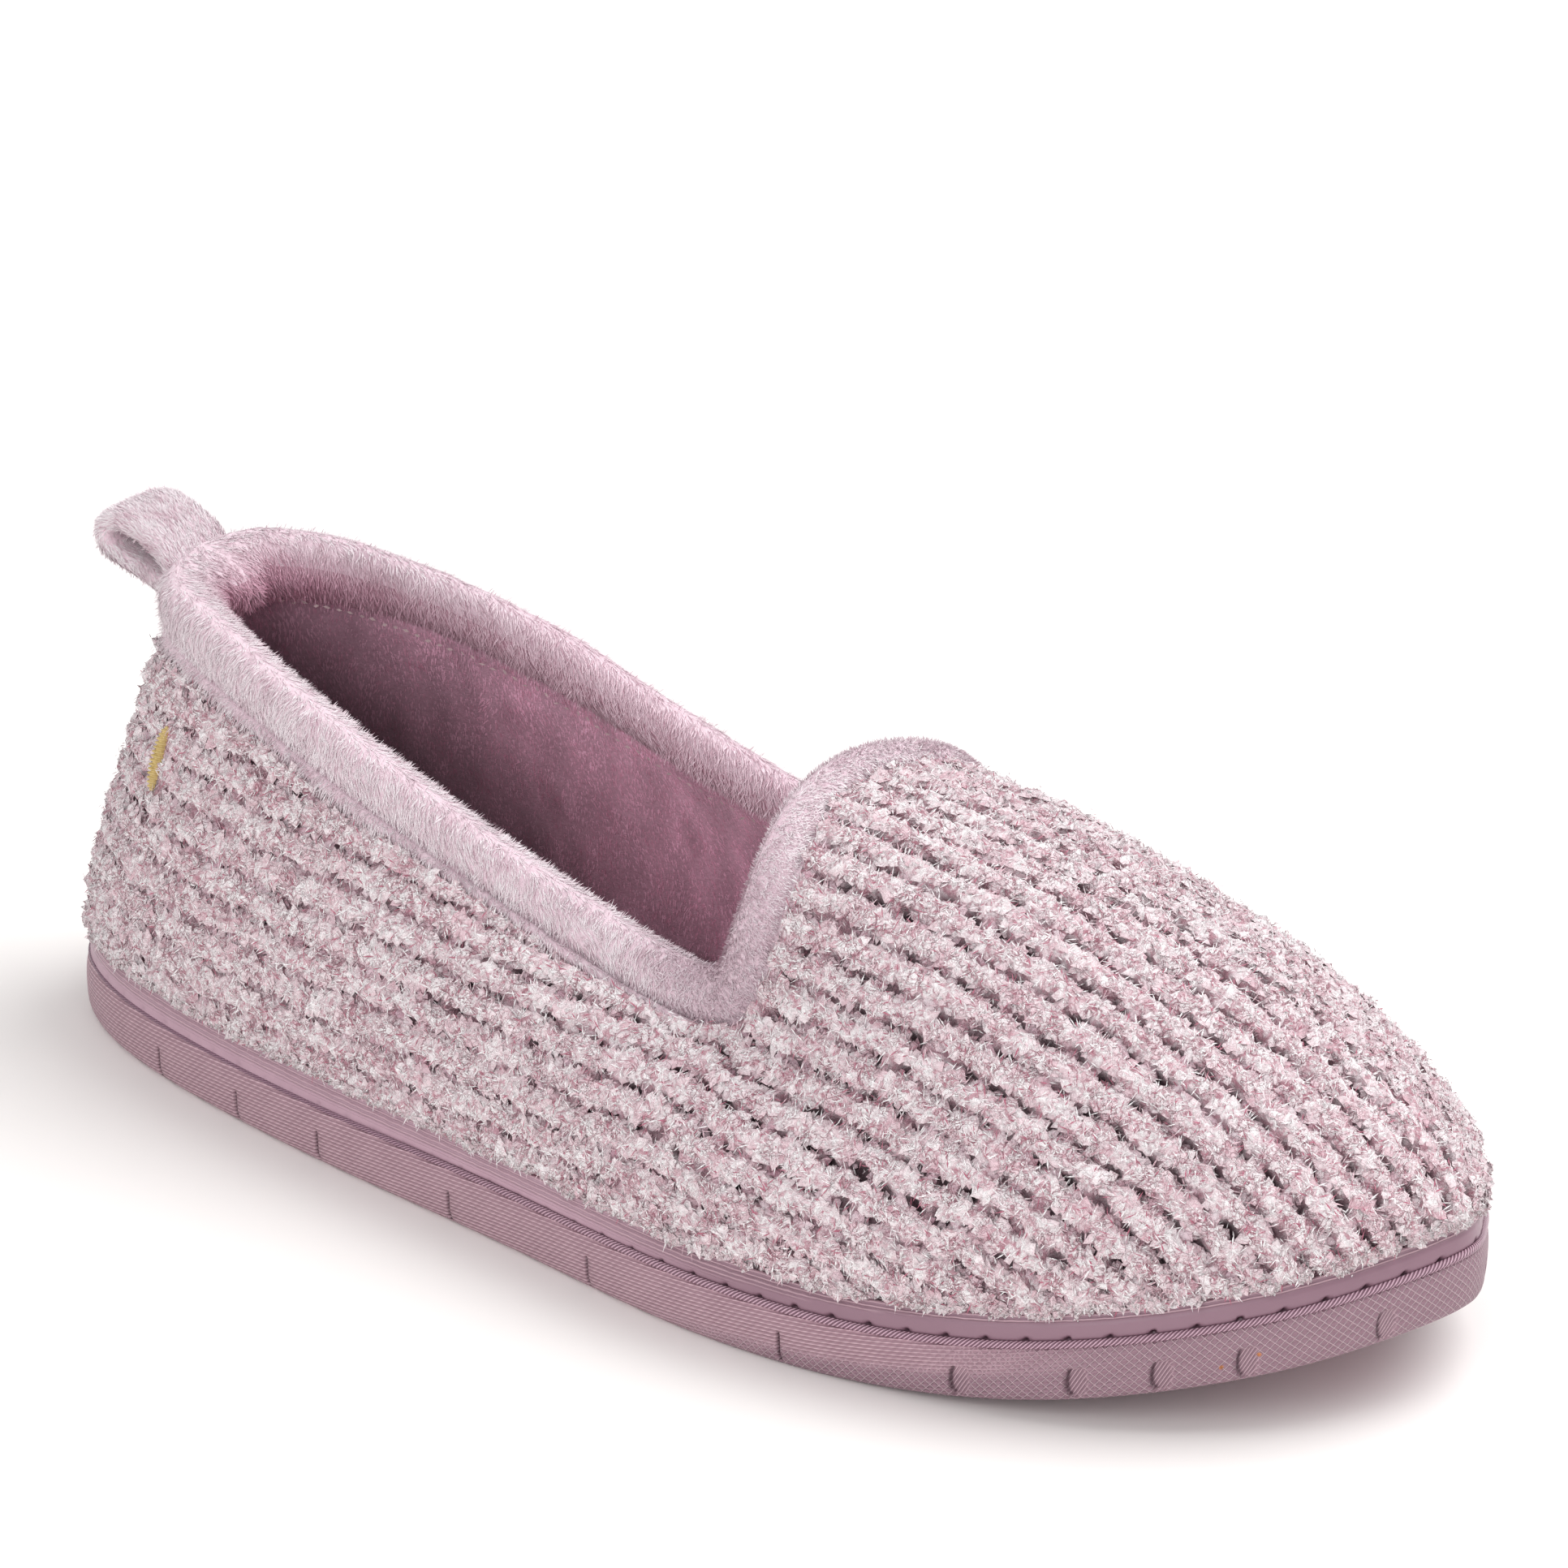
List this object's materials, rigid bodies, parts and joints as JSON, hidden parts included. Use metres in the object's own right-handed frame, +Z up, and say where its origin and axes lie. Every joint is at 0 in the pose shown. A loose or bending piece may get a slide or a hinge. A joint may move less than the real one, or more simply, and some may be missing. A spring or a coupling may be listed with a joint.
{
  "type": "slip-on slipper",
  "caption": "Closed-back slip-on house slipper for the right foot: chunky rib-knit upper, plush rolled collar with a heel pull loop, insole and moulded sole with toe spring.",
  "frame": {"origin": "middle of the whole slipper's box from above, on the plane of the floor", "axes": "+X towards the toe, +Y to the wearer's left (the inner side of this right shoe), +Z up from the floor"},
  "size_m": [0.2574, 0.0972, 0.0795],
  "materials": {
    "sole": "matt moulded rubber, mauve",
    "insole": "plush, mauve",
    "upper": "chunky chenille rib knit, white and pink",
    "collar_binding": "plush, pale lilac pink",
    "pull_loop": "plush, pale lilac pink"
  },
  "bodies": {
    "root": {"sole": "sole", "insole": "insole", "upper": "upper", "collar_binding": "collar_binding", "pull_loop": "pull_loop"}
  },
  "joints": []
}
